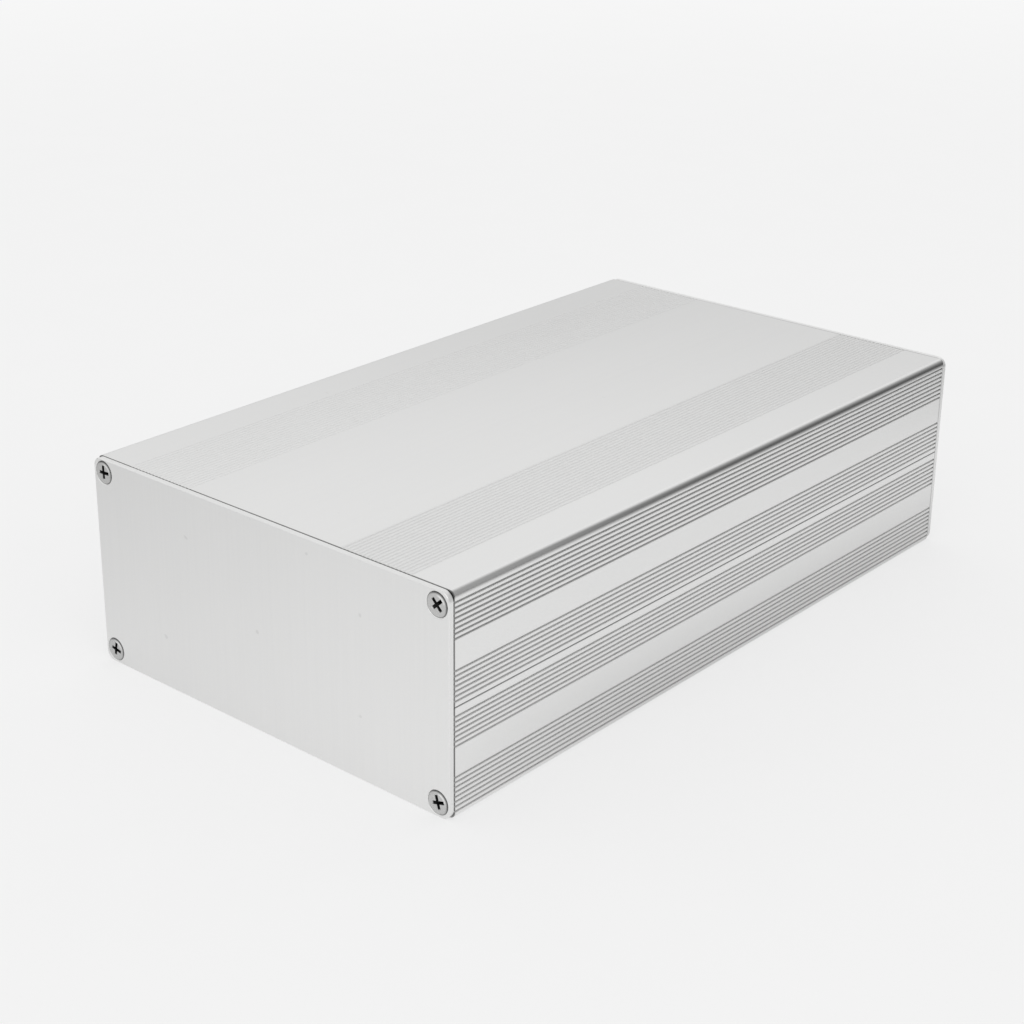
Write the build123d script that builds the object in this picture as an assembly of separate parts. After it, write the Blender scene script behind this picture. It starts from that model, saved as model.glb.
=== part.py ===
from build123d import *
import math
import os

# Split-body extruded enclosure, in millimetres. X runs across the front plate, Y from front to back, Z up.
# The origin is on the resting surface, under the centre of the box.

# Overall size
box_width = 145.0
box_height = 68.0
shell_length = 250.0

# Plain walls of a half shell
top_wall = 2.0
side_wall = 2.5
shell_corner_radius = 1.8

# Decorative grooves, all at one pitch
groove_pitch = 1.5
groove_mouth = 0.75
groove_floor = 0.45
side_groove_depth = 0.45
top_groove_depth = 0.12
joint_band_start = 2.3  # from the joint to the first groove beside it, before the shift
joint_band_count = 7
edge_band_start = 2.75  # from the top face down to the first groove beside the corner, before the shift
edge_band_count = 8
side_band_shift = 0.5  # the side bands are this much nearer the joint on the tongue side, further on the other
top_band_start = 15.5  # from the side face to the outermost groove of a top band
top_band_count = 18

# Tongue and socket that align the two half shells
seam_bevel = 0.25
outer_lip = 1.3
inner_lip = 1.1
tongue_thickness = 1.4
tongue_height = 2.2
tongue_bevel = 0.3
tongue_side_clearance = 0.15
tongue_tip_clearance = 0.3
joint_wall_height = 4.6  # from mid-height to where the thick stretch beside the joint ends

# Circuit board and the rails that hold it by its edges
board_thickness = 1.6
board_clearance = 0.2
rail_thickness = 1.2
rail_depth = 3.0
rail_bevel = 0.35
rail_pitch = 7.0
rail_start = 9.2  # from mid-height to the middle of the first slot
rail_margin = 1.0  # least distance from the last rail to the screw port

# End plates
plate_thickness = 2.0
plate_corner_radius = 3.0
plate_edge_break = 0.25

# Countersunk screws with an undercut head and a cross recess
screw_length = 12.0
screw_end_length = 1.3  # blunt tapered end
screw_end_diameter = 1.7
shank_diameter = 2.9  # root of the thread
head_diameter = 7.3
head_rim = 0.1
head_sink = 0.1  # head face below the plate's outer face
neck_step = 0.5  # the undercut neck stands this far out from the shank
head_margin = 0.43  # from the rim of the countersink to the edges of the plate
head_seat_gap = 0.05
hole_clearance = 0.1
recess_span = 4.5
recess_root_span = 1.7
recess_arm = 1.05
recess_depth = 1.6
recess_core = 1.6  # across the flats of the square middle of the recess
recess_core_root = 1.2

# Screw ports: open round channels in the corners of the half shells
port_clearance = 0.1
port_wall = 1.7
port_slit = 1.8

# Turn of each screw's recess in degrees, as driven, seen facing its plate
front_recess_turns = {"top_left": 2.0, "top_right": 43.0, "bottom_left": -10.0, "bottom_right": 16.0}
rear_recess_turns = {"top_left": 31.0, "top_right": -7.0, "bottom_left": 62.0, "bottom_right": 20.0}

# Cutting tools reach this far past the surface that they open
overcut = 0.1

# Worked out from the sizes above
half_width = box_width / 2
half_height = box_height / 2
inner_face = half_width - side_wall
joint_wall = outer_lip + tongue_thickness + inner_lip + 2 * tongue_side_clearance
head_radius = head_diameter / 2
shank_radius = shank_diameter / 2
neck_radius = shank_radius + neck_step
head_reach = head_sink + head_rim + head_radius - neck_radius
countersink_radius = head_radius + head_sink + head_rim + head_seat_gap * math.sqrt(2)
hole_radius = neck_radius + hole_clearance
hole_depth = max(plate_thickness, head_reach) + overcut
screw_inset = countersink_radius + head_margin
screw_x = half_width - screw_inset
screw_z = half_height - screw_inset
port_bore = shank_radius + port_clearance
port_radius = port_bore + port_wall
slot_width = board_thickness + board_clearance


# The section of a half shell is drawn about the box's long axis: across is X and up is Z.


def section_box(left, bottom, right, top):
    return Pos(left, bottom) * Rectangle(right - left, top - bottom, align=Align.MIN)


def groove(depth):
    # Trapezoid, wider at its mouth, that opens upwards at the origin.
    half_mouth = groove_mouth / 2
    half_floor = groove_floor / 2
    outline = [
        (-half_mouth, overcut),
        (-half_mouth, 0),
        (-half_floor, -depth),
        (half_floor, -depth),
        (half_mouth, 0),
        (half_mouth, overcut),
    ]
    return Polygon(*outline, align=None)


def grooves():
    joint_band = [joint_band_start + i * groove_pitch for i in range(joint_band_count)]
    edge_band = [half_height - edge_band_start - i * groove_pitch for i in range(edge_band_count)]
    top_band = [half_width - top_band_start - i * groove_pitch for i in range(top_band_count)]
    cuts = []
    for side in (-1, 1):
        cuts += [Pos(side * half_width, z - side * side_band_shift) * Rot(0, 0, -90 * side) * groove(side_groove_depth)
                 for z in joint_band + edge_band]
        cuts += [Pos(side * x, half_height) * groove(top_groove_depth) for x in top_band]
    return cuts


def screw_port(side):
    # Ring and corner block round one port. The bore and its slit are cut later.
    ring = Pos(side * screw_x, screw_z) * Circle(port_radius)
    corner = Pos(side * half_width, half_height) * Rectangle(
        screw_inset, screw_inset, align=(Align.MAX if side > 0 else Align.MIN, Align.MAX))
    return ring + corner


def port_cut(side):
    # The slit runs from the bore towards the middle of the box, so that the die can hold the port's core.
    inward = -135 if side > 0 else -45
    slit = Rot(0, 0, inward) * Rectangle(port_radius + overcut, port_slit, align=(Align.MIN, Align.CENTER))
    return Pos(side * screw_x, screw_z) * (Circle(port_bore) + slit)


def rail():
    # One rib with a bevelled nose, from inside the wall at the origin towards -X.
    rib = Rectangle(side_wall / 2 + rail_depth, rail_thickness, align=(Align.MAX, Align.CENTER))
    return chamfer(rib.vertices().group_by(Axis.X)[0], rail_bevel)


def rails():
    # Pairs of ribs with a slot between them, as many pairs as fit between the joint and the screw port.
    room = screw_z - port_radius - rail_margin - rail_start - slot_width / 2 - rail_thickness
    pair_count = int(room // rail_pitch) + 1
    pieces = []
    for i in range(pair_count):
        for step in (-1, 1):
            z = rail_start + i * rail_pitch + step * (slot_width + rail_thickness) / 2
            root = Pos(half_width - side_wall / 2, z)
            pieces.append(root * rail())
            pieces.append(mirror(root * rail(), about=Plane.YZ))
    return pieces


def joint_pad(side):
    # Thick stretch of side wall beside the joint, from the lip up to a 45 degree shoulder.
    pad_face = half_width - joint_wall
    outline = [
        (side * half_width, 0),
        (side * pad_face, 0),
        (side * pad_face, joint_wall_height),
        (side * inner_face, joint_wall_height + joint_wall - side_wall),
        (side * half_width, joint_wall_height + joint_wall - side_wall),
    ]
    return Polygon(*outline, align=None)


def tongue():
    # Hangs from the right-hand lip.
    outer = half_width - outer_lip - tongue_side_clearance
    blade = section_box(outer - tongue_thickness, -tongue_height, outer, 0)
    blade = chamfer(blade.vertices().group_by(Axis.Y)[0], tongue_bevel)
    root = section_box(outer - tongue_thickness, 0, outer, joint_wall_height)
    return blade + root


def socket():
    # Takes the tongue of the other half in the left-hand lip.
    outer = -half_width + outer_lip
    width = tongue_thickness + 2 * tongue_side_clearance
    return section_box(outer, -overcut, outer + width, tongue_height + tongue_tip_clearance)


def lip_bevel():
    # Square on its corner that breaks the outer edge of a lip by the bevel.
    side = seam_bevel * math.sqrt(2)
    return Rot(0, 0, 45) * Rectangle(side, side)


def shell_section():
    outline = section_box(-half_width, 0, half_width, half_height)
    outline = fillet(outline.vertices().group_by(Axis.Y)[-1], shell_corner_radius)
    inside = section_box(-inner_face, 0, inner_face, half_height - top_wall)
    section = outline - inside
    section += [screw_port(-1), screw_port(1), joint_pad(-1), joint_pad(1)]
    section += rails()
    section &= outline
    section -= [port_cut(-1), port_cut(1), socket()]
    section += tongue()
    section -= [Pos(half_width, 0) * lip_bevel(), Pos(-half_width, 0) * lip_bevel()]
    section -= grooves()
    return section


def turned(profile):
    # Solid of revolution about Z from (radius, height) points.
    return revolve(make_face(Plane.XZ * Polyline(*profile, close=True)), axis=Axis.Z)


def head_pocket():
    # Room for a screw's head and neck. The origin is on the plate's outer face, with the screw along -Z.
    cone_end = hole_radius - countersink_radius
    return turned([
        (0, overcut),
        (countersink_radius + overcut, overcut),
        (hole_radius, cone_end),
        (hole_radius, -hole_depth),
        (0, -hole_depth),
    ])


def screw_places():
    # Centres of the four screws, in the plane of an end plate seen from outside.
    return {
        "top_left": Pos(-screw_x, screw_z),
        "top_right": Pos(screw_x, screw_z),
        "bottom_left": Pos(-screw_x, -screw_z),
        "bottom_right": Pos(screw_x, -screw_z),
    }


def end_plate():
    # Lies on the XY plane with its outer face up.
    plate = extrude(RectangleRounded(box_width, box_height, plate_corner_radius), plate_thickness)
    plate = chamfer(plate.faces().filter_by(Axis.Z).edges(), plate_edge_break)
    for place in screw_places().values():
        plate -= place * Pos(0, 0, plate_thickness) * head_pocket()
    return plate


def recess_arm_pair():
    # Two opposite arms of the recess: a tapered blade across the head.
    outline = Polyline(
        (-recess_span / 2, 0),
        (-recess_root_span / 2, -recess_depth),
        (recess_root_span / 2, -recess_depth),
        (recess_span / 2, 0),
        (recess_span / 2, overcut),
        (-recess_span / 2, overcut),
        close=True,
    )
    return extrude(make_face(Plane.XZ * outline), recess_arm / 2, both=True)


def recess_middle():
    # Square middle of the recess, its flats between the arms.
    mouth = Pos(0, 0, overcut) * Rot(0, 0, 45) * Rectangle(recess_core, recess_core)
    root = Pos(0, 0, -recess_depth) * Rot(0, 0, 45) * Rectangle(recess_core_root, recess_core_root)
    return loft([root, mouth])


def screw(recess_turn):
    # Head face on the XY plane, shank along -Z.
    neck_end = head_sink - head_reach
    body = turned([
        (0, 0),
        (head_radius, 0),
        (head_radius, -head_rim),
        (neck_radius, neck_end),
        (shank_radius, neck_end),
        (shank_radius, screw_end_length - screw_length),
        (screw_end_diameter / 2, -screw_length),
        (0, -screw_length),
    ])
    body -= [recess_arm_pair(), Rot(0, 0, 90) * recess_arm_pair(), recess_middle()]
    return Rot(0, 0, recess_turn) * body


# Place of each end plate: its inner face lies on the cut end of the shells, its outer face looks outwards.
front_end = Pos(0, -shell_length / 2, half_height) * Rot(90, 0, 0)
rear_end = Rot(0, 0, 180) * front_end


def half_shell():
    # Stands about the box's long axis with its panel up.
    shell = extrude(Plane.XZ * shell_section(), shell_length / 2, both=True)
    if head_reach > plate_thickness:
        # Heads that reach through a thin plate need room in the mouths of the ports.
        for end in (front_end, rear_end):
            for place in screw_places().values():
                shell -= Pos(0, 0, -half_height) * end * place * Pos(0, 0, plate_thickness) * head_pocket()
    return shell


def enclosure():
    shell = half_shell()
    plate = end_plate()
    pieces = {
        "upper_shell": Pos(0, 0, half_height) * shell,
        "lower_shell": Pos(0, 0, half_height) * Rot(0, 180, 0) * shell,
        "front_end_plate": front_end * plate,
        "rear_end_plate": rear_end * plate,
    }
    seat = Pos(0, 0, plate_thickness - head_sink)
    for corner, place in screw_places().items():
        pieces["front_screw_" + corner] = front_end * place * seat * screw(front_recess_turns[corner])
        pieces["rear_screw_" + corner] = rear_end * place * seat * screw(rear_recess_turns[corner])
    return pieces


os.makedirs("parts", exist_ok=True)
for name, piece in enclosure().items():
    export_step(piece, "parts/" + name + ".step")
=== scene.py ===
import math

import bmesh
import bpy
from mathutils import Matrix, Vector


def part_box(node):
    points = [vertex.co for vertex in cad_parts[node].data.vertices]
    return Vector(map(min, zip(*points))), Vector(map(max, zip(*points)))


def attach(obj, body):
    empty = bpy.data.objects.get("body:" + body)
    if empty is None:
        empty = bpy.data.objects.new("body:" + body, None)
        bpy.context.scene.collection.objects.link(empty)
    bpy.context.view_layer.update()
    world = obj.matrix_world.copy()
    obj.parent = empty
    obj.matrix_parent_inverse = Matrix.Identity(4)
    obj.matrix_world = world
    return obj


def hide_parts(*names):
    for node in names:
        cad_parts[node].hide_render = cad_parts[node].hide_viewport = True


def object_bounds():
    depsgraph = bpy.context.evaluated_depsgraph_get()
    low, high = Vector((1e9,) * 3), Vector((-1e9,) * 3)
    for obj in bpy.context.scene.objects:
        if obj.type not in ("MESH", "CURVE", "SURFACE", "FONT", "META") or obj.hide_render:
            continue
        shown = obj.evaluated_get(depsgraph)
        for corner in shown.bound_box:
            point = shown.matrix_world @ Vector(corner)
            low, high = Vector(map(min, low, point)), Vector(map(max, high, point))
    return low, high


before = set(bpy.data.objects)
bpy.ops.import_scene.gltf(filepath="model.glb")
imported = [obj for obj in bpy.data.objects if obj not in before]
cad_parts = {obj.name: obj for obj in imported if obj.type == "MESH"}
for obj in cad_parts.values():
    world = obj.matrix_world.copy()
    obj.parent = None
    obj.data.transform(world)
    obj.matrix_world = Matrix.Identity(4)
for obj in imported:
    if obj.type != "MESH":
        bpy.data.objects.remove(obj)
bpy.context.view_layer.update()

mm = 0.001
print("frame loaded with", len(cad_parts), "nodes")


class Wire:
    # a shader socket that can be used in sums: every operator adds one Math node

    def __init__(self, graph, socket):
        self.graph = graph
        self.socket = socket

    def maths(self, operation, *values):
        return self.graph.add("ShaderNodeMath", {"operation": operation}, dict(enumerate(values)))

    def __add__(self, other):
        return self.maths("ADD", self, other)

    def __radd__(self, other):
        return self.maths("ADD", other, self)

    def __sub__(self, other):
        return self.maths("SUBTRACT", self, other)

    def __rsub__(self, other):
        return self.maths("SUBTRACT", other, self)

    def __mul__(self, other):
        return self.maths("MULTIPLY", self, other)

    def __rmul__(self, other):
        return self.maths("MULTIPLY", other, self)

    def __truediv__(self, other):
        return self.maths("DIVIDE", self, other)

    def __rtruediv__(self, other):
        return self.maths("DIVIDE", other, self)

    def size(self):
        return self.maths("ABSOLUTE", self)

    def root(self):
        return self.maths("SQRT", self)

    def beside(self, name):
        # another output of the same node
        return Wire(self.graph, self.socket.node.outputs[name])


def between(start, end, share):
    # from start to end as the share goes from 0 to 1, for numbers and wires alike
    return start + share * (end - start)


def kept(mask, share):
    # 1 outside the mask and only the share inside it
    return 1 - mask * (1 - share)


class Graph:
    # a node tree that starts empty, with one way to add a node

    def __init__(self, tree):
        self.tree = tree
        tree.nodes.clear()

    def add(self, kind, settings=None, values=None, output=0):
        # the settings come first, then the values or the links of its sockets
        node = self.tree.nodes.new(kind)
        for name, value in (settings or {}).items():
            setattr(node, name, value)
        for name, value in (values or {}).items():
            if isinstance(value, Wire):
                self.tree.links.new(value.socket, node.inputs[name])
            else:
                node.inputs[name].default_value = value
        if node.outputs:
            return Wire(self, node.outputs[output])

    def vector(self, operation, *values, output="Vector"):
        return self.add("ShaderNodeVectorMath", {"operation": operation}, dict(enumerate(values)), output)

    def place(self):
        # where a point is in the piece's own frame, in metres
        return self.add("ShaderNodeTexCoord", output="Object")

    def split(self, vector):
        x = self.add("ShaderNodeSeparateXYZ", values={"Vector": vector})
        return x, x.beside("Y"), x.beside("Z")

    def step(self, value, low, high):
        # 0 below low, 1 above high, smooth between
        settings = {"interpolation_type": "SMOOTHSTEP"}
        return self.add("ShaderNodeMapRange", settings, {"Value": value, "From Min": low, "From Max": high})

    def fade(self, value, low, high):
        # 1 below low, 0 above high, smooth between
        return 1 - self.step(value, low, high)

    def positive(self, value):
        # 0 where a length is negative and 1 where it is positive, changing within a millimetre of 0
        return self.step(value, -1 * mm, 1 * mm)

    def noise(self, place, stretch, scale, detail, rough=0.5):
        # noise about 0, from -0.5 to 0.5, on coordinates stretched along each axis
        stretched = self.vector("MULTIPLY", place, stretch)
        values = {"Vector": stretched, "Scale": scale, "Detail": detail, "Roughness": rough}
        return self.add("ShaderNodeTexNoise", values=values) - 0.5

    def marks(self, place, look):
        # a factor that is a little under 1 in small marks, which get rarer as few nears 0.5
        spread = self.noise(place, (1, 1, 1), look["marksPerMetre"], detail=1)
        mark = self.step(spread, look["marksFew"], look["marksFew"] + look["marksSoft"])
        return 1 - mark * look["marksTint"]

    def tint(self, colour, factor):
        # a colour made lighter or darker by a factor that varies over the surface
        grey = self.add("ShaderNodeCombineXYZ", values={"X": factor, "Y": factor, "Z": factor})
        return self.vector("MULTIPLY", colour, grey)

    def metal(self, colour, factor, roughness, relief, depth):
        # bare metal whose tint, roughness and fine relief vary over the surface
        bump = self.add("ShaderNodeBump", values={"Strength": 1.0, "Distance": depth, "Height": relief})
        shader = self.add("ShaderNodeBsdfPrincipled", values={
            "Base Color": self.tint(colour, factor),
            "Metallic": 1.0,
            "Roughness": roughness,
            "Normal": bump,
        })
        self.add("ShaderNodeOutputMaterial", values={"Surface": shader})


def newFinish(name):
    material = bpy.data.materials.new(name)
    material.use_nodes = True
    return material, Graph(material.node_tree)


# painted shade in the seam between the shells and an end plate
seamLook = {
    "core": 0.06 * mm,  # darkest this close to the cut end of the shells
    "reach": 0.30 * mm,
    "rightReach": 0.48 * mm,  # it gets wider towards the right
    "reachBand": (-60 * mm, 60 * mm),
    "keep": 0.30,
    "rearKeep": 0.65,  # the painted shade is lighter at the rear seam
}


# painted shade along the cut end of the shells, for the shells and the end plates alike
def seamShade(graph, x, y, look):
    low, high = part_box("upper_shell")
    gap = (y.size() - high.y).size()
    reach = between(look["reach"], look["rightReach"], graph.step(x, *look["reachBand"]))
    keep = between(look["keep"], look["rearKeep"], graph.positive(y))
    return kept(graph.fade(gap, look["core"], reach), keep)


# the half shells: extruded, blasted and clear anodised
shellLook = {
    "colour": (0.86, 0.86, 0.855),
    "roughness": 0.40,
    "grainPerMetre": 2600,  # the fine grain of the blast
    "grainTint": 0.05,
    "grainRoughness": 0.12,
    "grainDepth": 0.010 * mm,
    "linesPerMetre": 420,  # the faint lines of the extrusion
    "linesStretch": (1, 0.004, 1),
    "linesTint": 0.030,
    "linesRoughness": 0.06,
    "linesHeight": 0.5,  # against that of the grain
    "cloudsPerMetre": 14,
    "cloudsStretch": (1, 0.5, 1),
    "cloudsTint": 0.03,
    "marksPerMetre": 260,
    "marksFew": 0.29,
    "marksSoft": 0.06,
    "marksTint": 0.06,
    "cornerRadius": 1.8 * mm,  # the long rounded corners are rubbed smoother
    "cornerSoft": 0.05,
    "cornerRoughness": 0.36,
    "cornerFade": (-150 * mm, 15 * mm),  # the upper ones have a painted dark reflection along them, given for the front and the back
    "cornerShade": (0.62, 0.24),
    "cornerDark": ((-0.85, -0.20, 0.75, 1.25), (-0.60, 0.69, 0.87, 1.60)),
    "panelSkin": (0.5 * mm, 0.6 * mm),  # deeper than this is no longer the outer face of a panel
    "panelGroove": (0.02 * mm, 0.10 * mm),
    "panelGrooveRoughness": (0.52, 0.75),  # the blast reaches the grooves less evenly, left and right
    "panelBand": (30.2 * mm, 57.3 * mm),  # painted shade makes the grooved band on the right a little darker
    "panelBandSoft": 0.4 * mm,
    "panelBandShade": 0.96,
    "panelFade": (-110 * mm, 160 * mm),  # painted shade makes the panel on top a little darker towards the back
    "panelSkew": 0.8,  # and sooner on its left
    "panelBack": 0.91,
    "panelLeftFade": (-70 * mm, 0),  # and all of its left half a little more
    "panelLeft": 0.975,
    "sideSkin": (0.7 * mm, 0.8 * mm),  # deeper than this is no longer the outer face of a side wall
    "sideGroove": (0.03 * mm, 0.12 * mm),
    "sideGrooveRoughness": 0.45,
    "sideFloor": (0.20 * mm, 0.45 * mm),
    "sideFloorShade": 0.60,  # painted shade: the floor of a side groove keeps this much of the colour
    "topBand": (15.0 * mm, 16.0 * mm),  # and less of it in the band just below the top, a deeper painted shade
    "topBandShade": 0.47,
    "joint": (0.10 * mm, 0.30 * mm),  # painted shade in the seam between the two shells
    "jointKeep": 0.40,
}


def shellZones(graph, x, z, look):
    # masks, from the depths below the outer faces of the side walls and of the two panels
    low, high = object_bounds()
    middle = (low.z + high.z) / 2
    sideDepth = high.x - x.size()
    panelDepth = middle - (z - middle).size()
    corner = look["cornerRadius"]
    cornerEnd = (corner * (1 - look["cornerSoft"]), corner * (1 + look["cornerSoft"]))
    nearSide = graph.fade(sideDepth, *cornerEnd)
    nearPanel = graph.fade(panelDepth, *cornerEnd)
    onSide = nearSide * (1 - nearPanel)
    onPanel = nearPanel * (1 - nearSide)
    upper = graph.step(z, middle, middle + 1 * mm)
    sideFace = onSide * graph.fade(sideDepth, *look["sideSkin"])
    panelFace = onPanel * graph.fade(panelDepth, *look["panelSkin"])
    inner, outer = look["panelBand"]
    soft = look["panelBandSoft"]
    return {
        "corner": nearSide * nearPanel,
        "upperCorner": nearSide * upper,
        "aroundCorner": (panelDepth - sideDepth) / corner,  # -1 where it meets the panel, 1 at the side wall
        "upperPanel": nearPanel * upper,
        "panelGroove": panelFace * graph.step(panelDepth, *look["panelGroove"]),
        "panelBand": onPanel * graph.step(x, inner, inner + soft) * graph.fade(x, outer - soft, outer),
        "sideGroove": sideFace * graph.step(sideDepth, *look["sideGroove"]),
        "sideFloor": sideFace * graph.step(sideDepth, *look["sideFloor"]),
        "topBand": upper * graph.fade(panelDepth, *look["topBand"]),
        "joint": onSide * graph.fade((z - middle).size(), *look["joint"]),
    }


def shellShade(graph, x, y, zones, look):
    # how much of the colour each place keeps, all painted shade: the groove floors, the right band, the
    # upper corners, the back and left of the top panel, the joint and the seams
    # painted shade in the floors of the side grooves, deeper in the band just below the top, and on the
    # grooved band on the right
    floorShade = between(look["sideFloorShade"], look["topBandShade"], zones["topBand"])
    shade = kept(zones["sideFloor"], floorShade) * kept(zones["panelBand"], look["panelBandShade"])
    # around an upper corner the painted dark reflection starts, is full, ends and is gone
    along = graph.step(y, *look["cornerFade"])
    start, full, end, gone = [between(front, rear, along) for front, rear in zip(*look["cornerDark"])]
    around = zones["aroundCorner"]
    line = zones["upperCorner"] * graph.step(around, start, full) * graph.fade(around, end, gone)
    shade = shade * kept(line, between(*look["cornerShade"], along))
    # painted shade on the top panel, darker towards the back and on its left
    back = graph.step(y - x * look["panelSkew"], *look["panelFade"]) * (1 - look["panelBack"])
    left = graph.fade(x, *look["panelLeftFade"]) * (1 - look["panelLeft"])
    shade = shade * (1 - zones["upperPanel"] * (back + left)) * kept(zones["joint"], look["jointKeep"])
    return shade * seamShade(graph, x, y, seamLook)


def shellRoughness(graph, x, zones, look):
    plain = look["roughness"]
    panelGroove = between(*look["panelGrooveRoughness"], graph.positive(x))
    roughness = plain + zones["corner"] * (look["cornerRoughness"] - plain)
    roughness = roughness + zones["panelGroove"] * (panelGroove - plain)
    return roughness + zones["sideGroove"] * (look["sideGrooveRoughness"] - plain)


def shellFinish(look):
    material, graph = newFinish("blastedShell")
    place = graph.place()
    x, y, z = graph.split(place)
    zones = shellZones(graph, x, z, look)
    lines = graph.noise(place, look["linesStretch"], look["linesPerMetre"], detail=3)
    clouds = graph.noise(place, look["cloudsStretch"], look["cloudsPerMetre"], detail=2)
    grain = graph.noise(place, (1, 1, 1), look["grainPerMetre"], detail=1)
    factor = 1 + lines * look["linesTint"] + clouds * look["cloudsTint"] + grain * look["grainTint"]
    factor = factor * shellShade(graph, x, y, zones, look) * graph.marks(place, look)
    roughness = shellRoughness(graph, x, zones, look)
    roughness = roughness + grain * look["grainRoughness"] + lines * look["linesRoughness"]
    graph.metal(look["colour"], factor, roughness, grain + lines * look["linesHeight"], look["grainDepth"])
    return material


# the end plates: flat sheet, finely brushed up and down, clear anodised
plateLook = {
    "colour": (0.86, 0.86, 0.855),
    "roughness": 0.42,
    "brushPerMetre": 900,
    "brushStretch": (1, 1, 0.02),
    "brushTint": 0.045,
    "brushRoughness": 0.08,
    "brushDepth": 0.006 * mm,
    "grainPerMetre": 2600,
    "grainTint": 0.04,
    "grainRoughness": 0.1,
    "cloudsPerMetre": 22,
    "cloudsStretch": (1, 1, 0.4),
    "cloudsTint": 0.03,
    "marksPerMetre": 240,
    "marksFew": 0.285,
    "marksSoft": 0.06,
    "marksTint": 0.10,
}


def plateFinish(look):
    material, graph = newFinish("brushedPlate")
    place = graph.place()
    x, y = graph.split(place)[:2]
    strokes = graph.noise(place, look["brushStretch"], look["brushPerMetre"], detail=3, rough=0.6)
    clouds = graph.noise(place, look["cloudsStretch"], look["cloudsPerMetre"], detail=2)
    grain = graph.noise(place, (1, 1, 1), look["grainPerMetre"], detail=1)
    factor = 1 + strokes * look["brushTint"] + clouds * look["cloudsTint"] + grain * look["grainTint"]
    factor = factor * graph.marks(place, look) * seamShade(graph, x, y, seamLook)
    roughness = look["roughness"] + strokes * look["brushRoughness"] + grain * look["grainRoughness"]
    graph.metal(look["colour"], factor, roughness, strokes + grain, look["brushDepth"])
    return material


# the screws: nickel plated, with painted shade in the recess and round the rim
screwLook = {
    "colour": (0.57, 0.57, 0.565),
    "roughness": 0.27,
    "scuffsPerMetre": 1300,
    "scuffsTint": 0.35,
    "scuffsRoughness": 0.2,
    "scuffsDepth": 0.012 * mm,
    "recess": 0.06,  # painted shade in the recess keeps this much of the colour
    "recessDepth": (0.03 * mm, 0.35 * mm),
    "recessRadius": (2.30 * mm, 2.415 * mm),
    "recessRoughness": 0.4,
    # painted shade round the rim
    "rim": 0.45,
    "rimBand": (3.30 * mm, 3.60 * mm),
    "lean": (0.62, 0.78),  # to this side of the head the painted shade reaches further in, and a painted highlight brightens the face
    # painted shade in a crescent on one side of the rim
    "shadeCrescent": 0.42,
    "crescentBand": (3.00 * mm, 3.30 * mm),
    "crescentLean": (-0.1, 0.6),
    # a painted highlight in a ring on that side of the face
    "paintedGlint": 0.45,
    "polishBand": (2.20 * mm, 2.50 * mm, 2.80 * mm, 3.05 * mm),
    "polishLean": (0.7, 0.95),
}


def screwFinish(look):
    material, graph = newFinish("nickelScrew")
    place = graph.place()
    x, y, z = graph.split(place)
    radius = (x * x + y * y).root()
    leanX, leanY = look["lean"]
    lean = (x * leanX + y * leanY) / (radius + 0.01 * mm)  # never divides by 0 in the middle
    # painted shade in the recess, round the rim and in a crescent on one side, and a painted highlight ring
    # on the other side
    inRecess = graph.step(0 - z, *look["recessDepth"]) * graph.fade(radius, *look["recessRadius"])
    onRim = graph.step(radius, *look["rimBand"])
    shadeCrescent = graph.step(radius, *look["crescentBand"]) * graph.step(lean, *look["crescentLean"])
    start, full, end, gone = look["polishBand"]
    ring = graph.step(radius, start, full) * graph.fade(radius, end, gone)
    paintedGlint = ring * graph.step(lean, *look["polishLean"])
    scuffs = graph.noise(place, (1, 1, 1), look["scuffsPerMetre"], detail=3, rough=0.6)
    factor = (1 + scuffs * look["scuffsTint"]) * kept(inRecess, look["recess"]) * kept(onRim, look["rim"])
    factor = factor * kept(shadeCrescent, look["shadeCrescent"]) * (1 + paintedGlint * look["paintedGlint"])
    roughness = look["roughness"] + scuffs * look["scuffsRoughness"] + inRecess * look["recessRoughness"]
    graph.metal(look["colour"], factor, roughness, scuffs, look["scuffsDepth"])
    return material


# edges broken by the blasting, or by tumbling for the screws
edges = {
    "weld": 0.001 * mm,
    "flat": math.radians(0.5),  # faces closer than this lie in one plane
    "shell": 0.06 * mm,
    "plate": 0.07 * mm,
    "screw": 0.04 * mm,
    "angle": math.radians(35),  # edges sharper than this are rounded
    "screwAngle": math.radians(50),
    "steps": 3,
    "normalWeight": 100,  # the large faces shade flat
}


def makeObject(name, work):
    mesh = bpy.data.meshes.new(name)
    work.to_mesh(mesh)
    work.free()
    piece = bpy.data.objects.new(name, mesh)
    bpy.context.scene.collection.objects.link(piece)
    return piece


def breakEdges(piece, width, angle):
    bevel = piece.modifiers.new("edgeBreak", "BEVEL")
    bevel.width = width
    bevel.segments = edges["steps"]
    bevel.limit_method = "ANGLE"
    bevel.angle_limit = angle
    return bevel


def refine(node, finish, width):
    # a copy of the solid with clean flat faces and its sharp edges rounded, which takes the solid's place
    work = bmesh.new()
    work.from_mesh(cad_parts[node].data)
    bmesh.ops.remove_doubles(work, verts=work.verts, dist=edges["weld"])
    bmesh.ops.dissolve_limit(work, angle_limit=edges["flat"], verts=work.verts, edges=work.edges)
    piece = makeObject(node + ".skin", work)
    piece.data.materials.append(finish)
    piece.data.shade_smooth()
    bevel = breakEdges(piece, width, edges["angle"])
    bevel.use_clamp_overlap = False
    normals = piece.modifiers.new("normals", "WEIGHTED_NORMAL")
    normals.weight = edges["normalWeight"]
    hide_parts(node)
    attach(piece, "root")


shellMaterial = shellFinish(shellLook)
plateMaterial = plateFinish(plateLook)
screwMaterial = screwFinish(screwLook)
for node in ("upper_shell", "lower_shell"):
    refine(node, shellMaterial, edges["shell"])
for node in ("front_end_plate", "rear_end_plate"):
    refine(node, plateMaterial, edges["plate"])
print("shells and end plates refined")


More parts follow.
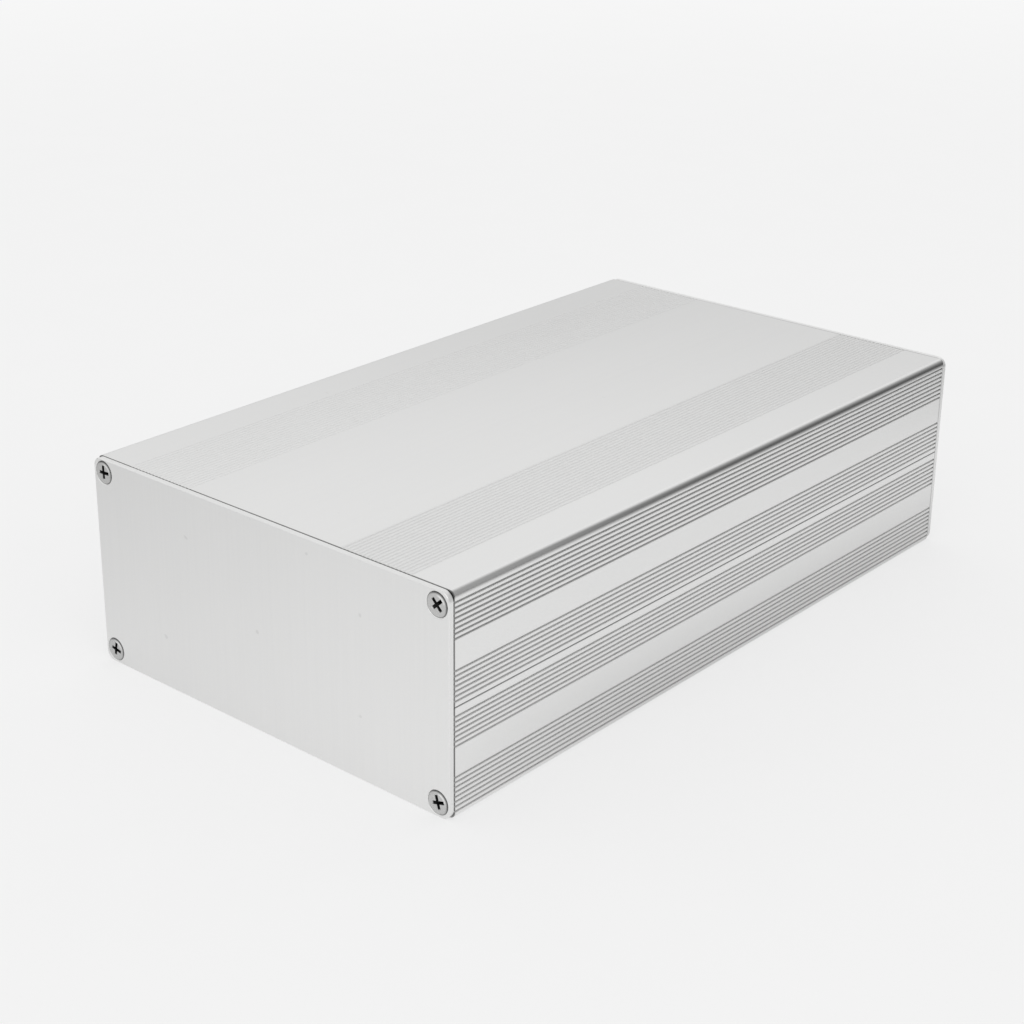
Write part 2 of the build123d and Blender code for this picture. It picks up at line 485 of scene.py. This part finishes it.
# the screws, drawn on their own axis: the head face is at height 0 and the shank points down
screwShape = {
    "headRadius": 3.65 * mm,
    "crown": 0.08 * mm,  # how far the middle of the head stands up
    "crownFall": 0.6,  # the share of it that is lost where the rim starts
    "crownRings": 5,
    "shoulder": 0.80,  # the rounded rim starts at this share of the radius
    "rim": 0.10 * mm,  # and ends this far below the face
    "rimAngles": range(12, 91, 13),  # degrees, from the face to the edge
    "neckRadius": 1.95 * mm,
    "neckEnd": -1.80 * mm,
    "neckOverlap": 0.2 * mm,  # the shank starts this far up inside the neck
    "rootRadius": 1.45 * mm,
    "crestRadius": 1.72 * mm,
    "ridge": 0.3,  # half the width of a ridge at its foot, as a share of the pitch
    "pitch": 1.30 * mm,
    "threadStart": 0.3,  # turns of plain shank before the thread starts to rise
    "threadEnd": 1.2,  # the larger this is, the further the thread runs out over the end
    "length": 12.0 * mm,
    "endLength": 1.3 * mm,
    "endRadius": 0.85 * mm,
    "headColumns": 96,
    "threadColumns": 48,
    "rowsPerTurn": 12,
    "sharp": math.radians(32),  # edges sharper than this show as edges
}

# the cross recess, from its width at the face to its width at the bottom
recessShape = {
    "span": 4.5 * mm,
    "spanRoot": 1.7 * mm,
    "arm": 1.05 * mm,
    "core": 1.6 * mm,
    "coreRoot": 1.2 * mm,
    "depth": 1.6 * mm,
    "above": 0.4 * mm,  # the cutters start this far above the face
}

# how far each recess is turned, seen facing the plate that its screw is in
screwTurns = {
    "front_screw_top_left": 2,
    "front_screw_top_right": 43,
    "front_screw_bottom_left": -10,
    "front_screw_bottom_right": 16,
    "rear_screw_top_left": 31,
    "rear_screw_top_right": -7,
    "rear_screw_bottom_left": 62,
    "rear_screw_bottom_right": 20,
}


def addTurned(work, rings, columns):
    # closes a turned solid from (radii, height) rings; a ring with one radius of 0 is a point on the axis
    rows = []
    for radii, height in rings:
        row = []
        for column, radius in enumerate(radii):
            angle = 2 * math.pi * column / columns
            row.append(work.verts.new((radius * math.cos(angle), radius * math.sin(angle), height)))
        rows.append(row)
    for upper, lower in zip(rows, rows[1:]):
        for column in range(columns):
            ahead = (column + 1) % columns
            corners = (upper[column % len(upper)], lower[column % len(lower)],
                       lower[ahead % len(lower)], upper[ahead % len(upper)])
            work.faces.new(tuple(dict.fromkeys(corners)))


def headRings(shape):
    columns = shape["headColumns"]
    radius = shape["headRadius"]
    shoulder = radius * shape["shoulder"]
    rings = [([0], shape["crown"])]
    for ring in range(shape["crownRings"]):
        share = (ring + 1) / shape["crownRings"]
        height = shape["crown"] * (1 - shape["crownFall"] * share ** 2)
        rings.append(([shoulder * share] * columns, height))
    start = rings[-1][1]
    for degrees in shape["rimAngles"]:
        angle = math.radians(degrees)
        across = shoulder + (radius - shoulder) * math.sin(angle)
        height = start - (start + shape["rim"]) * (1 - math.cos(angle))
        rings.append(([across] * columns, height))
    rings.append(([shape["neckRadius"]] * columns, shape["neckEnd"]))
    rings.append(([0], shape["neckEnd"]))
    return rings


def threadRings(shape):
    columns = shape["threadColumns"]
    top = shape["neckEnd"] + shape["neckOverlap"]
    bottom = -shape["length"]
    count = round((top - bottom) / shape["pitch"] * shape["rowsPerTurn"])
    rings = [([0], top)]
    for row in range(count + 1):
        height = top + (bottom - top) * row / count
        toEnd = min(1, (height - bottom) / shape["endLength"])
        root = between(shape["endRadius"], shape["rootRadius"], toEnd)
        # the thread fades in below the neck and out over the end
        started = min(1, max(0, (top - height) / shape["pitch"] - shape["threadStart"]))
        fade = started * min(1, toEnd * shape["threadEnd"])
        radii = []
        for column in range(columns):
            turn = (height / shape["pitch"] - column / columns) % 1
            ridge = max(0, 1 - abs(turn - 0.5) / shape["ridge"])
            radii.append(root + (shape["crestRadius"] - shape["rootRadius"]) * ridge * fade)
        rings.append((radii, height))
    rings.append(([0], bottom))
    return rings


def addTaper(work, top, bottom, height, depth):
    # a tapered block, from half sizes (x, y) at the top to half sizes at the bottom
    corners = ((-1, -1), (1, -1), (1, 1), (-1, 1))
    lower = [work.verts.new((bottom[0] * x, bottom[1] * y, -depth)) for x, y in corners]
    upper = [work.verts.new((top[0] * x, top[1] * y, height)) for x, y in corners]
    work.faces.new(lower[::-1])
    work.faces.new(upper)
    for index in range(4):
        ahead = (index + 1) % 4
        work.faces.new((lower[index], lower[ahead], upper[ahead], upper[index]))


def makeCutters(shape):
    # two crossed arms and a square core between them
    depth, above = shape["depth"], shape["above"]
    flare = (shape["span"] - shape["spanRoot"]) / depth * above  # it goes on above the face
    armTop = ((shape["span"] + flare) / 2, shape["arm"] / 2)
    armRoot = (shape["spanRoot"] / 2, shape["arm"] / 2)
    coreTop = (shape["core"] / 2, shape["core"] / 2)
    coreRoot = (shape["coreRoot"] / 2, shape["coreRoot"] / 2)
    cutters = []
    for degrees, top, root in ((0, armTop, armRoot), (90, armTop, armRoot), (45, coreTop, coreRoot)):
        work = bmesh.new()
        addTaper(work, top, root, above, depth)
        bmesh.ops.rotate(work, matrix=Matrix.Rotation(math.radians(degrees), 3, "Z"), verts=work.verts)
        cutters.append(makeObject("cutter", work))
    return cutters


def makeScrewMesh():
    work = bmesh.new()
    addTurned(work, headRings(screwShape), screwShape["headColumns"])
    head = makeObject("head", work)
    cutters = makeCutters(recessShape)
    for cutter in cutters:
        cut = head.modifiers.new("cut", "BOOLEAN")
        cut.object = cutter
        cut.operation = "DIFFERENCE"
        cut.solver = "EXACT"
    breakEdges(head, edges["screw"], edges["screwAngle"])
    graph = bpy.context.evaluated_depsgraph_get()
    cutHead = bpy.data.meshes.new_from_object(head.evaluated_get(graph))
    work = bmesh.new()
    work.from_mesh(cutHead)
    addTurned(work, threadRings(screwShape), screwShape["threadColumns"])
    mesh = bpy.data.meshes.new("screw")
    work.to_mesh(mesh)
    work.free()
    mesh.shade_smooth()
    mesh.set_sharp_from_angle(angle=screwShape["sharp"])
    mesh.materials.append(screwMaterial)
    for piece in (head, *cutters):
        bpy.data.objects.remove(piece)
    return mesh


screwMesh = makeScrewMesh()
for node, turn in screwTurns.items():
    low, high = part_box(node)
    atFront = node.startswith("front")
    middle = (low + high) / 2
    middle.y = low.y if atFront else high.y
    facing = Matrix.Rotation(math.radians(90), 4, "X")
    if not atFront:
        facing = Matrix.Rotation(math.radians(180), 4, "Z") @ facing
    turned = screwMesh.copy()
    turned.transform(Matrix.Rotation(math.radians(turn), 4, "Z"))
    screw = bpy.data.objects.new(node + ".detail", turned)
    screw.matrix_world = Matrix.Translation(middle) @ facing
    bpy.context.scene.collection.objects.link(screw)
    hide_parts(node)
    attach(screw, "root")
print("screws made:", len(screwTurns), "with", len(screwMesh.polygons), "faces each")


# the floor, pale and matt
floorLook = {
    "side": 8.0,
    "gap": 0.05 * mm,  # just clear of the underside of the box
    "colour": (0.86, 0.86, 0.86),
    "paperPerMetre": 30,
    "paperTint": 0.01,
    "seen": (1.0, 1.0, 1.0),  # what the camera and the metal see in place of part of the light
    "cameraShare": 0.6,
    "fade": (0.5, 2.5),  # further off than this the camera sees it fade into the backdrop
    "metalShare": 0.73,
    "dim": 0.78,  # the floor gives the metal less light towards the left
    "dimBand": (-0.35, 0.12),
    "farDim": 0.30,  # and less still far behind the right side
    "farAim": (0.66, 0.75),
    "farBand": (0.28, 0.46),
    "besideDim": 0.73,  # and less close to the long sides, in the shade of the box
    "besideBand": (76 * mm, 112 * mm),
    "besideStart": (-160 * mm, -20 * mm),  # from the front to the back
}


def makeFloor(look):
    half = look["side"] / 2
    mesh = bpy.data.meshes.new("floor")
    low = -look["gap"]
    corners = [(-half, -half, low), (half, -half, low), (half, half, low), (-half, half, low)]
    mesh.from_pydata(corners, [], [(0, 1, 2, 3)])
    floor = bpy.data.objects.new("floor", mesh)
    bpy.context.scene.collection.objects.link(floor)
    material, graph = newFinish("paleFloor")
    place = graph.place()
    x, y = graph.split(place)[:2]
    camera = graph.add("ShaderNodeLightPath", output="Is Camera Ray")
    glossy = camera.beside("Is Glossy Ray")
    left = graph.fade(x, *look["dimBand"])
    aimX, aimY = look["farAim"]
    far = graph.step(x * aimX + y * aimY, *look["farBand"])
    flank = graph.fade(x.size(), *look["besideBand"]) * graph.step(y, *look["besideStart"])
    level = kept(left * (1 - camera), look["dim"]) * kept(far * glossy, look["farDim"])
    level = level * kept(flank * glossy, look["besideDim"])
    level = level + graph.noise(place, (1, 1, 1), look["paperPerMetre"], detail=2) * look["paperTint"]
    paint = graph.add("ShaderNodeBsdfDiffuse", values={"Color": graph.tint(look["colour"], level)})
    glowTint = graph.tint(look["seen"], level)
    glow = graph.add("ShaderNodeEmission", values={"Color": glowTint, "Strength": 1.0})
    away = graph.vector("LENGTH", place, output="Value")
    cameraShare = between(look["cameraShare"], 1, graph.step(away, *look["fade"]))
    share = camera * cameraShare + glossy * look["metalShare"]
    mixed = graph.add("ShaderNodeMixShader", values={0: share, 1: paint, 2: glow})
    graph.add("ShaderNodeOutputMaterial", values={"Surface": mixed})
    mesh.materials.append(material)


# the room: a pale dome, less bright near the horizon and overhead, with a dull flag low at the back right
roomLook = {
    "dome": 1.0,
    "horizon": 0.42,
    "horizonBand": (0.08, 0.42),  # the dome brightens between these heights of its direction
    "ceiling": 0.78,
    "ceilingBand": (0.55, 0.75),  # and dims again above
    "flag": 0.62,
    "flagAim": (0.63, 0.69, 0.33),
    "flagInner": math.radians(27),
    "flagOuter": math.radians(39),
    "seen": 1.0,  # the camera sees plain white
}


def makeRoom(look):
    world = bpy.data.worlds.new("room")
    bpy.context.scene.world = world
    world.use_nodes = True
    graph = Graph(world.node_tree)
    way = graph.add("ShaderNodeTexCoord", output="Generated")
    up = graph.split(way)[2]
    aim = Vector(look["flagAim"]).normalized()
    facing = graph.vector("DOT_PRODUCT", way, aim, output="Value")
    flag = graph.step(facing, math.cos(look["flagOuter"]), math.cos(look["flagInner"]))
    dome = between(look["horizon"], look["dome"], graph.step(up, *look["horizonBand"]))
    dome = dome + graph.step(up, *look["ceilingBand"]) * (look["ceiling"] - look["dome"])
    bright = dome * (1 - flag) + flag * look["flag"]
    camera = graph.add("ShaderNodeLightPath", output="Is Camera Ray")
    level = between(bright, look["seen"], camera)
    back = graph.add("ShaderNodeBackground", values={"Color": (1, 1, 1, 1), "Strength": level})
    graph.add("ShaderNodeOutputWorld", values={"Surface": back})


# one large soft lamp that looks at the box
lampLook = {
    "at": (1.2, -1.1, 1.8),
    "aim": (0, 0, 30 * mm),
    "width": 2.4,
    "height": 2.4,
    "power": 6,
}


def makeLamp(look):
    data = bpy.data.lights.new("keyLamp", "AREA")
    data.shape = "RECTANGLE"
    data.size = look["width"]
    data.size_y = look["height"]
    data.energy = look["power"]
    lamp = bpy.data.objects.new("keyLamp", data)
    lamp.location = look["at"]
    lamp.rotation_euler = (Vector(look["aim"]) - lamp.location).to_track_quat("-Z", "Y").to_euler()
    bpy.context.scene.collection.objects.link(lamp)


# the camera stands as it did for the photograph, with its small roll
cameraLook = {
    "aim": (0.02622, -0.06553, 0.07031),  # the point that it is turned to
    "distance": 0.5913,
    "azimuth": 41.661,
    "elevation": 22.060,
    "roll": 0.148,
    "lens": 71.24,
    "sensor": 36,
    "shift": (0.03734, -0.03695),
    "clip": (0.01, 50),
}


def makeCamera(look):
    data = bpy.data.cameras.new("camera")
    data.lens = look["lens"]
    data.sensor_width = look["sensor"]
    data.shift_x, data.shift_y = look["shift"]
    data.clip_start, data.clip_end = look["clip"]
    azimuth = math.radians(look["azimuth"])
    elevation = math.radians(look["elevation"])
    back = Vector((
        math.sin(azimuth) * math.cos(elevation),
        -math.cos(azimuth) * math.cos(elevation),
        math.sin(elevation)))
    camera = bpy.data.objects.new("camera", data)
    turn = (-back).to_track_quat("-Z", "Y").to_matrix().to_4x4()
    roll = Matrix.Rotation(math.radians(look["roll"]), 4, "Z")
    camera.matrix_world = Matrix.Translation(Vector(look["aim"]) + back * look["distance"]) @ turn @ roll
    bpy.context.scene.collection.objects.link(camera)
    bpy.context.scene.camera = camera


makeFloor(floorLook)
makeRoom(roomLook)
makeLamp(lampLook)
makeCamera(cameraLook)
bpy.context.scene.view_settings.view_transform = "Standard"
print("floor, room, lamp and camera set")
